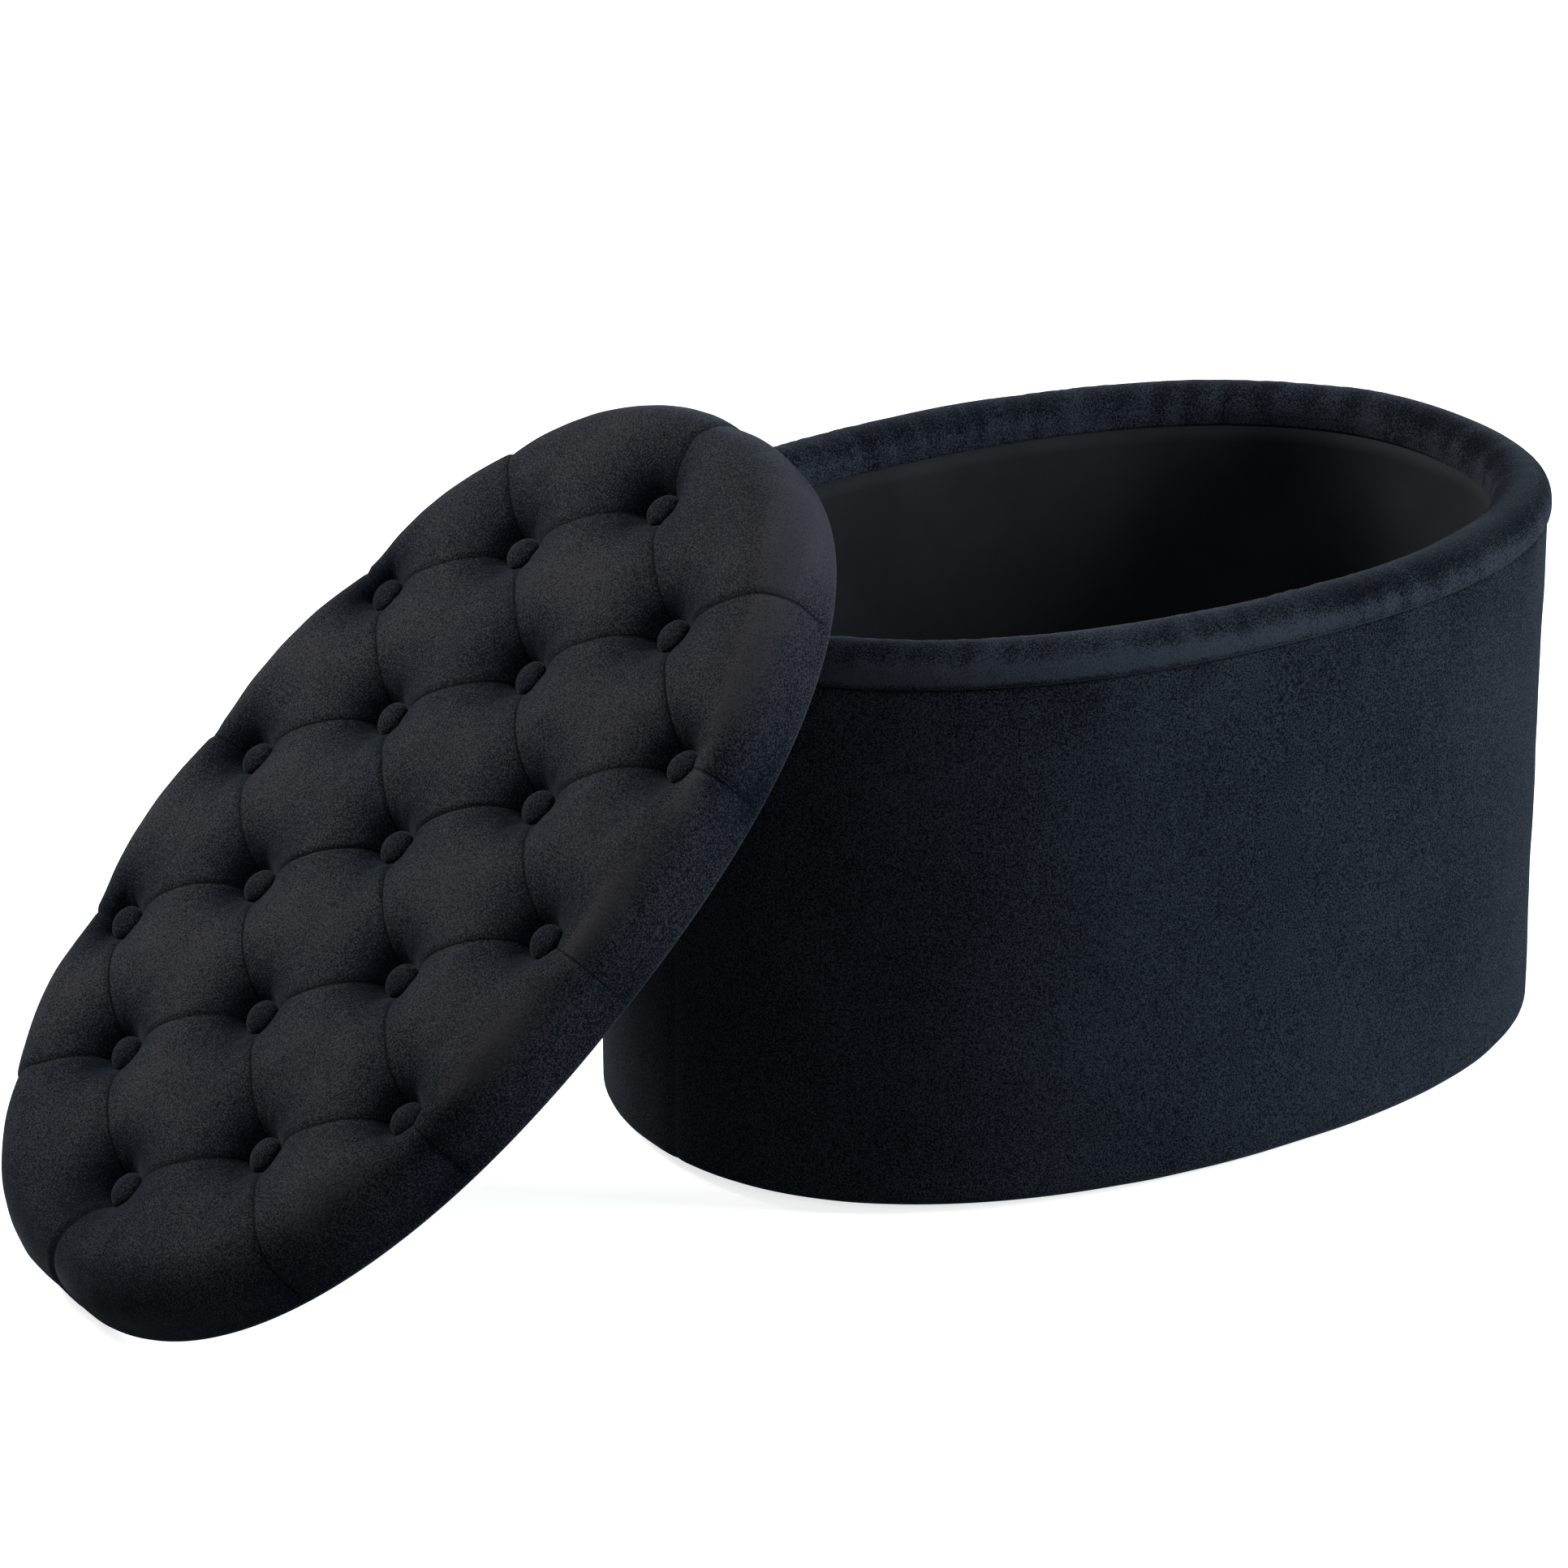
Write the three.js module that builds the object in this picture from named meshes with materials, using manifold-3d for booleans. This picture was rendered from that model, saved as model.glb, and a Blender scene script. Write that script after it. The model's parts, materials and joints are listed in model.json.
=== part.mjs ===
// Oval storage ottoman: an upholstered tub with a padded rim, and a loose button-tufted lid.
// Millimetres, +Z up. The origin is on the floor under the centre of the tub.
// +X runs along the tub's length and +Y along its width.
// The lid is off the tub: its lower end stands on the floor and it leans on the rim's -X end.

import * as THREE from "three";
import { mergeVertices } from "three/addons/utils/BufferGeometryUtils.js";
import Module from "manifold-3d";

const wasm = await Module();
wasm.setup();

// Overall sizes
const LENGTH = 710; // tub over the rim, along X
const WIDTH = 484; // tub over the rim, along Y
const RIM_HEIGHT = 405; // floor to the top of the padded rim
const PLAN_POWER = 2.22; // 2 is an ellipse, larger is squarer
const LID_OVERHANG = 5; // lid past the rim all round
const LID_THICKNESS = 57; // underside to the top of the padding
const LEAN_ANGLE = 43; // degrees between the leaning lid and the floor

// Fits
const GAP = 0.3; // between neighbouring pieces
const REST_GAP = 0.5; // lid to rim, and lid to floor

// Tub
const GLIDE_HEIGHT = 3.5;
const GLIDE_RADIUS = 11;
const GLIDE_PIN_RADIUS = 1.5;
const GLIDE_PIN_LENGTH = 12;
const GLIDE_INSET = 50;
const COVER_THICKNESS = 1.6; // velvet with its backing
const COVER_INSET = 3; // the wall sits back under the rim roll
const COVER_TURN_UNDER = 27; // fabric folded under the base
const BASE_EDGE_RADIUS = 9;
const DUST_COVER_THICKNESS = 0.8;
const WALL_FOAM_THICKNESS = 8;
const OUTER_BOARD_THICKNESS = 4;
const INNER_BOARD_THICKNESS = 3;
const LINING_THICKNESS = 1.2;
const LINING_SETBACK = 3.7; // the lining sits back under the inner side of the rim roll
const BASE_PANEL_THICKNESS = 12;
const FLOOR_BOARD_THICKNESS = 3;

// Rim
const RIM_ROLL_RADIUS = 22; // the roll is a half round this wide each side of its centre
const RIM_SKIRT = 8; // straight part of the rim's cover below the half round
const RING_MARGIN = 12; // from each side of the roll to the plywood ring
const RING_ABOVE = 8; // top of the ring above the centre of the roll
const DOWEL_RADIUS = 4;
const DOWEL_LENGTH = 30;

// Lid
const LID_BOARD_THICKNESS = 12;
const LID_BOARD_INSET = 12;
const LID_SHOULDER = 36; // radius of the padded top edge
const LID_FOOT_RADIUS = 8; // radius of the lower edge
const LID_LINING_THICKNESS = 1;
const LID_LINING_INSET = 18;
const LID_TURN_UNDER = 30;
const LOCATOR_LENGTH = 28;
const LOCATOR_WIDTH = 12;
const LOCATOR_HEIGHT = 15;
const LOCATOR_X = 124;
const LOCATOR_CLEARANCE = 5;

// Tufting
const BUTTON_MARGIN_X = 78; // from the outermost buttons to the lid's edge
const BUTTON_MARGIN_Y = 60;
const BUTTON_ROWS = [3, 4, 5, 4, 3];
const BUTTON_RADIUS = 12;
const BUTTON_DOME = 5;
const BUTTON_SHANK_RADIUS = 1.2;
const TUFT_DEPTH = 12;
const TUFT_RADIUS = 25; // mouth of the dimple round a button

const SEGMENTS = 36; // corners of every oval outline

const tubOval = { a: LENGTH / 2, b: WIDTH / 2 };
const lidOval = { a: tubOval.a + LID_OVERHANG, b: tubOval.b + LID_OVERHANG };

const group = new THREE.Group();
const lid = new THREE.Group();
group.add(lid);

const looks = {
  velvet: { color: 0x14171d, roughness: 0.82, metalness: 0 },
  lidVelvet: { color: 0x2a2b30, roughness: 0.8, metalness: 0 },
  lining: { color: 0x202123, roughness: 0.9, metalness: 0 },
  foam: { color: 0xd9d2bd, roughness: 1, metalness: 0 },
  fibreboard: { color: 0x8a6a45, roughness: 0.85, metalness: 0 },
  timber: { color: 0xc4a071, roughness: 0.7, metalness: 0 },
  plastic: { color: 0x121212, roughness: 0.5, metalness: 0 },
};

function addPiece(parent, name, look, geometry) {
  const material = new THREE.MeshStandardMaterial(looks[look]);
  const mesh = new THREE.Mesh(geometry, material);
  mesh.name = name;
  parent.add(mesh);
  return mesh;
}

// A point of the oval plan at an angle, moved straight inwards by the inset.
function planPoint(oval, angle, inset) {
  const c = Math.cos(angle);
  const s = Math.sin(angle);
  const x = oval.a * Math.sign(c) * Math.abs(c) ** (2 / PLAN_POWER);
  const y = oval.b * Math.sign(s) * Math.abs(s) ** (2 / PLAN_POWER);
  const nx = (Math.sign(x) * Math.abs(x / oval.a) ** (PLAN_POWER - 1)) / oval.a;
  const ny = (Math.sign(y) * Math.abs(y / oval.b) ** (PLAN_POWER - 1)) / oval.b;
  const n = Math.hypot(nx, ny);
  return new THREE.Vector2(x - (inset * nx) / n, y - (inset * ny) / n);
}

// The oval's corners from one corner number to another.
function outline(oval, inset, from = 0, to = SEGMENTS - 1) {
  const points = [];
  for (let k = from; k <= to; k++) {
    points.push(planPoint(oval, (2 * Math.PI * k) / SEGMENTS, inset));
  }
  return points;
}

// How far the inset oval reaches in Y at a given X.
function halfWidthAt(oval, inset, x) {
  let low = 0;
  let high = Math.PI / 2;
  for (let i = 0; i < 40; i++) {
    const middle = (low + high) / 2;
    if (planPoint(oval, middle, inset).x > x) low = middle;
    else high = middle;
  }
  return planPoint(oval, low, inset).y;
}

// A flat sheet or panel of the oval, with round holes.
function panel(oval, inset, bottom, height, holes = [], radius = 0) {
  const shape = new THREE.Shape(outline(oval, inset));
  for (const hole of holes) {
    shape.holes.push(new THREE.Path().absarc(hole.x, hole.y, radius, 0, 2 * Math.PI, true));
  }
  const options = { depth: height, bevelEnabled: false, curveSegments: 4 };
  return new THREE.ExtrudeGeometry(shape, options).translate(0, 0, bottom);
}

// An upright wall that follows the oval all the way round.
function wall(oval, inset, thickness, bottom, top) {
  const shape = new THREE.Shape(outline(oval, inset));
  shape.holes.push(new THREE.Path(outline(oval, inset + thickness).reverse()));
  const options = { depth: top - bottom, bevelEnabled: false };
  return new THREE.ExtrudeGeometry(shape, options).translate(0, 0, bottom);
}

// A stretch of such a wall between two corners of the oval.
function wallStretch(oval, inset, thickness, bottom, top, from, to) {
  const outer = outline(oval, inset, from, to);
  const inner = outline(oval, inset + thickness, from, to).reverse();
  const options = { depth: top - bottom, bevelEnabled: false };
  const shape = new THREE.Shape([...outer, ...inner]);
  return new THREE.ExtrudeGeometry(shape, options).translate(0, 0, bottom);
}

// Skins a stack of ovals. The profile lists [inset, height] pairs going up the outside.
// A closed profile makes a ring. An open one is closed by a flat face at each end.
function loft(oval, profile, closed) {
  const positions = [];
  const index = [];
  for (const [inset, z] of profile) {
    for (const p of outline(oval, inset)) {
      positions.push(p.x, p.y, z);
    }
  }
  const rows = closed ? profile.length : profile.length - 1;
  for (let i = 0; i < rows; i++) {
    const j = (i + 1) % profile.length;
    for (let k = 0; k < SEGMENTS; k++) {
      const next = (k + 1) % SEGMENTS;
      const a = i * SEGMENTS + k;
      const b = i * SEGMENTS + next;
      const c = j * SEGMENTS + next;
      const d = j * SEGMENTS + k;
      index.push(a, b, c, a, c, d);
    }
  }
  if (!closed) {
    const last = (profile.length - 1) * SEGMENTS;
    const centre = positions.length / 3;
    positions.push(0, 0, profile[0][1], 0, 0, profile.at(-1)[1]);
    for (let k = 0; k < SEGMENTS; k++) {
      const next = (k + 1) % SEGMENTS;
      index.push(centre, next, k, centre + 1, last + k, last + next);
    }
  }
  const geometry = new THREE.BufferGeometry();
  geometry.setAttribute("position", new THREE.Float32BufferAttribute(positions, 3));
  geometry.setIndex(index);
  return geometry;
}

function toSolid(geometry) {
  const bare = geometry.clone();
  bare.deleteAttribute("normal");
  bare.deleteAttribute("uv");
  const merged = mergeVertices(bare, 1e-4);
  return new wasm.Manifold(
    new wasm.Mesh({
      numProp: 3,
      vertProperties: new Float32Array(merged.attributes.position.array),
      triVerts: new Uint32Array(merged.index.array),
    }),
  );
}

function toGeometry(solid) {
  const mesh = solid.getMesh();
  const geometry = new THREE.BufferGeometry();
  geometry.setAttribute("position", new THREE.BufferAttribute(mesh.vertProperties, 3));
  geometry.setIndex(new THREE.BufferAttribute(mesh.triVerts, 1));
  return geometry;
}

// A turned solid with its axis along Z, from [radius, height] pairs that start and end on it.
function turned(profile, sides) {
  const points = profile.map(([r, z]) => new THREE.Vector2(r, z));
  return new THREE.LatheGeometry(points, sides).rotateX(Math.PI / 2);
}

function rod(radius, bottom, top, sides) {
  return turned([[0, bottom], [radius, bottom], [radius, top], [0, top]], sides);
}

// Points of an arc in a profile, measured from pointing outwards, turning upwards.
function arc(insetCentre, zCentre, radius, fromDegrees, toDegrees, steps) {
  const points = [];
  for (let i = 0; i <= steps; i++) {
    const t = THREE.MathUtils.degToRad(fromDegrees + ((toDegrees - fromDegrees) * i) / steps);
    points.push([insetCentre - radius * Math.cos(t), zCentre + radius * Math.sin(t)]);
  }
  return points;
}

// ---- Heights and insets that the tub's pieces share, from the floor up and from outside in

const dustBottom = GLIDE_HEIGHT + GAP;
const coverBottom = dustBottom + DUST_COVER_THICKNESS + GAP;
const baseBottom = coverBottom + COVER_THICKNESS + GAP;
const baseTop = baseBottom + BASE_PANEL_THICKNESS;
const floorBottom = baseTop + GAP;
const floorTop = floorBottom + FLOOR_BOARD_THICKNESS;

const rollCentre = RIM_HEIGHT - RIM_ROLL_RADIUS;
const rimBottom = rollCentre - RIM_SKIRT;
const ringTop = rollCentre + RING_ABOVE;
const ringHeight = ringTop - rimBottom;
const wallTop = rimBottom - GAP;
const ringWidth = 2 * (RIM_ROLL_RADIUS - RING_MARGIN);

const wallFoamInset = COVER_INSET + COVER_THICKNESS + GAP;
const outerBoardInset = wallFoamInset + WALL_FOAM_THICKNESS + GAP;
const postInset = outerBoardInset + OUTER_BOARD_THICKNESS + GAP;
const liningInset = 2 * RIM_ROLL_RADIUS - LINING_SETBACK - LINING_THICKNESS;
const innerBoardInset = liningInset - GAP - INNER_BOARD_THICKNESS;
const postThickness = innerBoardInset - GAP - postInset;
const floorInset = liningInset + LINING_THICKNESS + GAP;

// ---- Base: panel, glides, dust cover and the board that lines the storage space

const glideSpots = [new THREE.Vector2(0, 0)];
for (let i = 0; i < 6; i++) {
  glideSpots.push(planPoint(tubOval, Math.PI / 6 + (i * Math.PI) / 3, GLIDE_INSET));
}

addPiece(group, "base_panel", "fibreboard",
  panel(tubOval, postInset, baseBottom, BASE_PANEL_THICKNESS, glideSpots, GLIDE_PIN_RADIUS + GAP));
addPiece(group, "dust_cover", "lining",
  panel(tubOval, COVER_INSET + BASE_EDGE_RADIUS, dustBottom, DUST_COVER_THICKNESS,
    glideSpots, GLIDE_PIN_RADIUS + GAP));
addPiece(group, "floor_board", "lining",
  panel(tubOval, floorInset, floorBottom, FLOOR_BOARD_THICKNESS));

// Each glide is a plastic disc with a pin that is driven up into the base panel.
glideSpots.forEach((spot, i) => {
  const profile = [
    [0, 0],
    [GLIDE_RADIUS - 1.2, 0],
    [GLIDE_RADIUS, 1.2],
    [GLIDE_RADIUS, GLIDE_HEIGHT],
    [GLIDE_PIN_RADIUS, GLIDE_HEIGHT],
    [GLIDE_PIN_RADIUS, GLIDE_HEIGHT + GLIDE_PIN_LENGTH],
    [0, GLIDE_HEIGHT + GLIDE_PIN_LENGTH],
  ];
  const name = i === 0 ? "glide_centre" : `glide_${i}`;
  const glide = addPiece(group, name, "plastic", turned(profile, 12));
  glide.position.set(spot.x, spot.y, 0);
});

// ---- Wall: posts between two bent boards, foam and velvet outside, lining inside

const POST_CORNERS = [2, 6, 11, 15, 20, 24, 29, 33]; // each post spans one side of the oval
POST_CORNERS.forEach((corner, i) => {
  addPiece(group, `wall_post_${i + 1}`, "timber",
    wallStretch(tubOval, postInset, postThickness, baseTop + GAP, wallTop,
      corner, corner + 1));
});

addPiece(group, "outer_board", "fibreboard",
  wall(tubOval, outerBoardInset, OUTER_BOARD_THICKNESS, baseBottom, wallTop));
addPiece(group, "inner_board", "fibreboard",
  wall(tubOval, innerBoardInset, INNER_BOARD_THICKNESS, baseTop + GAP, wallTop));
addPiece(group, "wall_foam", "foam",
  wall(tubOval, wallFoamInset, WALL_FOAM_THICKNESS, baseBottom + BASE_EDGE_RADIUS, wallTop));
addPiece(group, "wall_lining", "lining",
  wall(tubOval, liningInset, LINING_THICKNESS, baseTop + GAP, wallTop));

// The velvet is one tube whose lower edge rounds under the base and is stapled there.
const wallEdge = COVER_INSET + BASE_EDGE_RADIUS;
addPiece(group, "wall_cover", "velvet",
  loft(tubOval, [
    [COVER_INSET + COVER_TURN_UNDER, coverBottom],
    ...arc(wallEdge, coverBottom + BASE_EDGE_RADIUS, BASE_EDGE_RADIUS, -90, 0, 3),
    [COVER_INSET, wallTop],
    [COVER_INSET + COVER_THICKNESS, wallTop],
    ...arc(wallEdge, coverBottom + BASE_EDGE_RADIUS, BASE_EDGE_RADIUS - COVER_THICKNESS, 0, -90, 3),
    [COVER_INSET + COVER_TURN_UNDER, coverBottom + COVER_THICKNESS],
  ], true));

// ---- Rim: a plywood ring in two halves, doweled end to end, under a foam roll and velvet

const dowelHole = toSolid(
  rod(DOWEL_RADIUS + GAP, -DOWEL_LENGTH / 2 - GAP, DOWEL_LENGTH / 2 + GAP, 16).rotateX(Math.PI / 2),
);

function halfRing(from, to, side) {
  const points = (inset) => {
    const row = outline(tubOval, inset, from, to);
    row[0].y = (side * GAP) / 2;
    row.at(-1).y = (side * GAP) / 2;
    return row;
  };
  const outer = points(RING_MARGIN);
  const inner = points(RING_MARGIN + ringWidth).reverse();
  const options = { depth: ringHeight, bevelEnabled: false };
  const shape = new THREE.Shape([...outer, ...inner]);
  let solid = toSolid(new THREE.ExtrudeGeometry(shape, options).translate(0, 0, rimBottom));
  for (const end of [-1, 1]) {
    const x = end * (tubOval.a - RIM_ROLL_RADIUS);
    solid = solid.subtract(dowelHole.translate([x, 0, rollCentre]));
  }
  return toGeometry(solid);
}

addPiece(group, "rim_ring_back", "timber", halfRing(0, SEGMENTS / 2, 1));
addPiece(group, "rim_ring_front", "timber", halfRing(SEGMENTS / 2, SEGMENTS, -1));

for (const [name, end] of [["rim_dowel_left", -1], ["rim_dowel_right", 1]]) {
  const dowel = addPiece(group, name, "timber",
    rod(DOWEL_RADIUS, -DOWEL_LENGTH / 2, DOWEL_LENGTH / 2, 16));
  dowel.rotation.x = Math.PI / 2;
  dowel.position.set(end * (tubOval.a - RIM_ROLL_RADIUS), 0, rollCentre);
}

const foamRadius = RIM_ROLL_RADIUS - COVER_THICKNESS - GAP;
addPiece(group, "rim_foam", "foam",
  loft(tubOval, [
    [RIM_ROLL_RADIUS - foamRadius, rimBottom + COVER_THICKNESS + GAP],
    ...arc(RIM_ROLL_RADIUS, rollCentre, foamRadius, 0, 180, 5),
    [RIM_ROLL_RADIUS + foamRadius, rimBottom + COVER_THICKNESS + GAP],
    [RING_MARGIN + ringWidth + GAP, rimBottom + COVER_THICKNESS + GAP],
    [RING_MARGIN + ringWidth + GAP, ringTop + GAP],
    [RING_MARGIN - GAP, ringTop + GAP],
    [RING_MARGIN - GAP, rimBottom + COVER_THICKNESS + GAP],
  ], true));

addPiece(group, "rim_cover", "velvet",
  loft(tubOval, [
    [RING_MARGIN - GAP, rimBottom],
    [0, rimBottom],
    ...arc(RIM_ROLL_RADIUS, rollCentre, RIM_ROLL_RADIUS, 0, 180, 5),
    [2 * RIM_ROLL_RADIUS, rimBottom],
    [RING_MARGIN + ringWidth + GAP, rimBottom],
    [RING_MARGIN + ringWidth + GAP, rimBottom + COVER_THICKNESS],
    [2 * RIM_ROLL_RADIUS - COVER_THICKNESS, rimBottom + COVER_THICKNESS],
    ...arc(RIM_ROLL_RADIUS, rollCentre, RIM_ROLL_RADIUS - COVER_THICKNESS, 180, 0, 5),
    [COVER_THICKNESS, rimBottom + COVER_THICKNESS],
    [RING_MARGIN - GAP, rimBottom + COVER_THICKNESS],
  ], true));

// ---- Lid: board, foam, tufted velvet, buttons, lining and locating blocks.
// It is built lying on the closed tub, with its own origin at the centre of its underside.

const lidCoverBottom = LID_LINING_THICKNESS + GAP;
const boardBottom = lidCoverBottom + COVER_THICKNESS + GAP;
const lidBoardTop = boardBottom + LID_BOARD_THICKNESS;

// The padded outline of the lid, moved inwards by an offset.
function lidSide(offset) {
  const foot = LID_FOOT_RADIUS - offset;
  const shoulder = LID_SHOULDER - offset;
  return [
    ...arc(LID_FOOT_RADIUS, lidCoverBottom + LID_FOOT_RADIUS, foot, -90, 0, 2),
    ...arc(LID_SHOULDER, LID_THICKNESS - LID_SHOULDER, shoulder, 0, 90, 5),
  ];
}

// The buttons of one row stand over the gaps of the next, and the pattern fills the lid.
const middleRow = (BUTTON_ROWS.length - 1) / 2;
const buttonStepX = (lidOval.a - BUTTON_MARGIN_X) / (Math.max(...BUTTON_ROWS) - 1);
const buttonStepY = (lidOval.b - BUTTON_MARGIN_Y) / middleRow;
const buttonSpots = [];
BUTTON_ROWS.forEach((count, row) => {
  for (let i = 0; i < count; i++) {
    buttonSpots.push([(2 * i - (count - 1)) * buttonStepX, (row - middleRow) * buttonStepY]);
  }
});

const tuftBottom = LID_THICKNESS - TUFT_DEPTH;

// The hollow pulled in by a button, grown by the skin around it, over a hole for the shank.
function tuft(skin, holeBottom) {
  const above = LID_THICKNESS + 1;
  const slope = (TUFT_RADIUS - BUTTON_RADIUS - 1) / TUFT_DEPTH;
  const bottom = tuftBottom - skin;
  const hole = BUTTON_SHANK_RADIUS + GAP;
  return toSolid(turned([
    [0, Math.min(holeBottom, bottom)],
    ...(holeBottom < bottom ? [[hole, holeBottom], [hole, bottom]] : []),
    [BUTTON_RADIUS + 1 + skin, bottom],
    [TUFT_RADIUS + slope + skin, above],
    [0, above],
  ], 8));
}

function tufted(solid, skin, holeBottom) {
  const cutter = tuft(skin, holeBottom);
  let result = solid;
  for (const [x, y] of buttonSpots) {
    result = result.subtract(cutter.translate([x, y, 0]));
  }
  return result;
}

addPiece(lid, "lid_board", "fibreboard",
  panel(lidOval, LID_BOARD_INSET, boardBottom, LID_BOARD_THICKNESS,
    buttonSpots.map(([x, y]) => ({ x, y })), BUTTON_SHANK_RADIUS + GAP));

const foamSkin = COVER_THICKNESS + GAP;
addPiece(lid, "lid_foam", "foam",
  toGeometry(tufted(toSolid(loft(lidOval, [
    [LID_BOARD_INSET - GAP, lidBoardTop + GAP],
    [LID_BOARD_INSET - GAP, boardBottom],
    ...lidSide(foamSkin),
  ], false)), foamSkin, boardBottom)));

const coverOuter = tufted(toSolid(loft(lidOval, lidSide(0), false)), 0, lidBoardTop);
const cavity = tufted(
  toSolid(loft(lidOval, lidSide(COVER_THICKNESS), false)),
  COVER_THICKNESS,
  LID_THICKNESS,
);
const coverMouth = toSolid(panel(lidOval, LID_TURN_UNDER, lidCoverBottom - 1, 2 + COVER_THICKNESS));
addPiece(lid, "lid_cover", "lidVelvet", toGeometry(coverOuter.subtract(cavity).subtract(coverMouth)));

addPiece(lid, "lid_lining", "lining",
  panel(lidOval, LID_LINING_INSET, 0, LID_LINING_THICKNESS));

// A fabric-covered button on a shank that is anchored in the board.
const buttonBottom = tuftBottom + GAP;
buttonSpots.forEach(([x, y], i) => {
  const profile = [
    [0, boardBottom],
    [BUTTON_SHANK_RADIUS, boardBottom],
    [BUTTON_SHANK_RADIUS, buttonBottom],
    [BUTTON_RADIUS, buttonBottom],
    [BUTTON_RADIUS * 0.75, buttonBottom + BUTTON_DOME * 0.7],
    [0, buttonBottom + BUTTON_DOME],
  ];
  const name = `lid_button_${String(i + 1).padStart(2, "0")}`;
  const button = addPiece(lid, name, "lidVelvet", turned(profile, 8));
  button.position.set(x, y, 0);
});

// Blocks that drop inside the rim and keep the closed lid from sliding off.
const locatorY =
  halfWidthAt(tubOval, 2 * RIM_ROLL_RADIUS, LOCATOR_X + LOCATOR_LENGTH / 2) -
  LOCATOR_CLEARANCE - LOCATOR_WIDTH / 2;
let locatorNumber = 0;
for (const sx of [-1, 1]) {
  for (const sy of [-1, 1]) {
    locatorNumber += 1;
    const block = addPiece(lid, `lid_locator_${locatorNumber}`, "timber",
      new THREE.BoxGeometry(LOCATOR_LENGTH, LOCATOR_WIDTH, LOCATOR_HEIGHT));
    block.position.set(sx * LOCATOR_X, sy * locatorY, -GAP - LOCATOR_HEIGHT / 2);
  }
}

// ---- Lean: the underside touches the rim roll and the lower end touches the floor

const lean = THREE.MathUtils.degToRad(LEAN_ANGLE);
const reach = RIM_ROLL_RADIUS + REST_GAP;
const touchX = -(tubOval.a - RIM_ROLL_RADIUS) - reach * Math.sin(lean);
const touchZ = rollCentre + reach * Math.cos(lean);
const lowest = Math.min(
  ...lidSide(0).map(([inset, z]) => -(lidOval.a - inset) * Math.sin(lean) + z * Math.cos(lean)),
);
const lidZ = REST_GAP - lowest;
const lidX = touchX - (touchZ - lidZ) / Math.tan(lean);
lid.rotation.y = -lean;
lid.position.set(lidX, 0, lidZ);

export default group;
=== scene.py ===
import bpy
import json
import math
import numpy as np
from mathutils import Matrix, Vector, noise


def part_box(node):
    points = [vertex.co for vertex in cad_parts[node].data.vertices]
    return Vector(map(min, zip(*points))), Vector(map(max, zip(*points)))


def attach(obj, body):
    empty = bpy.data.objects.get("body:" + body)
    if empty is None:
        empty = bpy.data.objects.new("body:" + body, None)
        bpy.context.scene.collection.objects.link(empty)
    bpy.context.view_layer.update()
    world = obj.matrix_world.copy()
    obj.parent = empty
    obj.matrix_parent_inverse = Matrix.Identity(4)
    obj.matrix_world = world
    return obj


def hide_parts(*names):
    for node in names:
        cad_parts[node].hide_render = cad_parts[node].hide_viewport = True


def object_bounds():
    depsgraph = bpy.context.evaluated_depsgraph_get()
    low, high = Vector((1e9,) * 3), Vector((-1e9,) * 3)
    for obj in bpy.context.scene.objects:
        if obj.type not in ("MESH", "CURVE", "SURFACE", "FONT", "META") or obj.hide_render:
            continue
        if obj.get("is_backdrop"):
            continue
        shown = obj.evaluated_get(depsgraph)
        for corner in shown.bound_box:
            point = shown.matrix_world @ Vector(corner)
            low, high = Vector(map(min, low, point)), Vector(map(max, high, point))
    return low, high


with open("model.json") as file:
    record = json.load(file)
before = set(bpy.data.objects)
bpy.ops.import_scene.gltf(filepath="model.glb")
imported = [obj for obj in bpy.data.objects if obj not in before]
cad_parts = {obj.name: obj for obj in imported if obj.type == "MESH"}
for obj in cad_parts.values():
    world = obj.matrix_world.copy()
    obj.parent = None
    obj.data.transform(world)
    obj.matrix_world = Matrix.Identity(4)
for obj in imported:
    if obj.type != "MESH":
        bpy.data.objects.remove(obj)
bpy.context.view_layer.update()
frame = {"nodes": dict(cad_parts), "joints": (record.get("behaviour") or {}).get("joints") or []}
joints = {joint["name"]: joint for joint in frame["joints"]}


# ---------------------------------------------------------------- Camera, floor and studio light
# A long lens looks down on the ottoman from beyond its left front corner. The floor is one pale
# sheet, lit by a wide overhead box, a tall box on the right and a soft white room.

camera_data = bpy.data.cameras.new("camera")
camera_data.sensor_width = 36
camera_data.lens = 146.1
camera_data.clip_end = 60
camera = bpy.data.objects.new("camera", camera_data)
bpy.context.collection.objects.link(camera)
heading, dip, distance = 0.9904, 0.3819, 4.972
aim = Vector((0.0966, 0.5185, 0))
look = Vector((
    math.cos(dip) * math.cos(heading),
    math.cos(dip) * math.sin(heading),
    -math.sin(dip),
))
camera.location = aim - look * distance
camera.rotation_euler = look.to_track_quat("-Z", "Y").to_euler()
bpy.context.scene.camera = camera

bpy.context.scene.view_settings.view_transform = "Standard"

world = bpy.data.worlds.new("studio")
bpy.context.scene.world = world
world.use_nodes = True
room = world.node_tree.nodes["Background"]
room.inputs["Color"].default_value = (0.93, 0.96, 1, 1)
backdrop = world.node_tree.nodes.new("ShaderNodeBackground")
backdrop.inputs["Color"].default_value = (1, 1, 1, 1)
backdrop.inputs["Strength"].default_value = 1.0
room.inputs["Strength"].default_value = 0.25
seen = world.node_tree.nodes.new("ShaderNodeLightPath")
either = world.node_tree.nodes.new("ShaderNodeMixShader")
world.node_tree.links.new(seen.outputs["Is Camera Ray"], either.inputs["Fac"])
world.node_tree.links.new(room.outputs[0], either.inputs[1])
world.node_tree.links.new(backdrop.outputs[0], either.inputs[2])
world.node_tree.links.new(
    either.outputs[0], world.node_tree.nodes["World Output"].inputs["Surface"])


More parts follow.
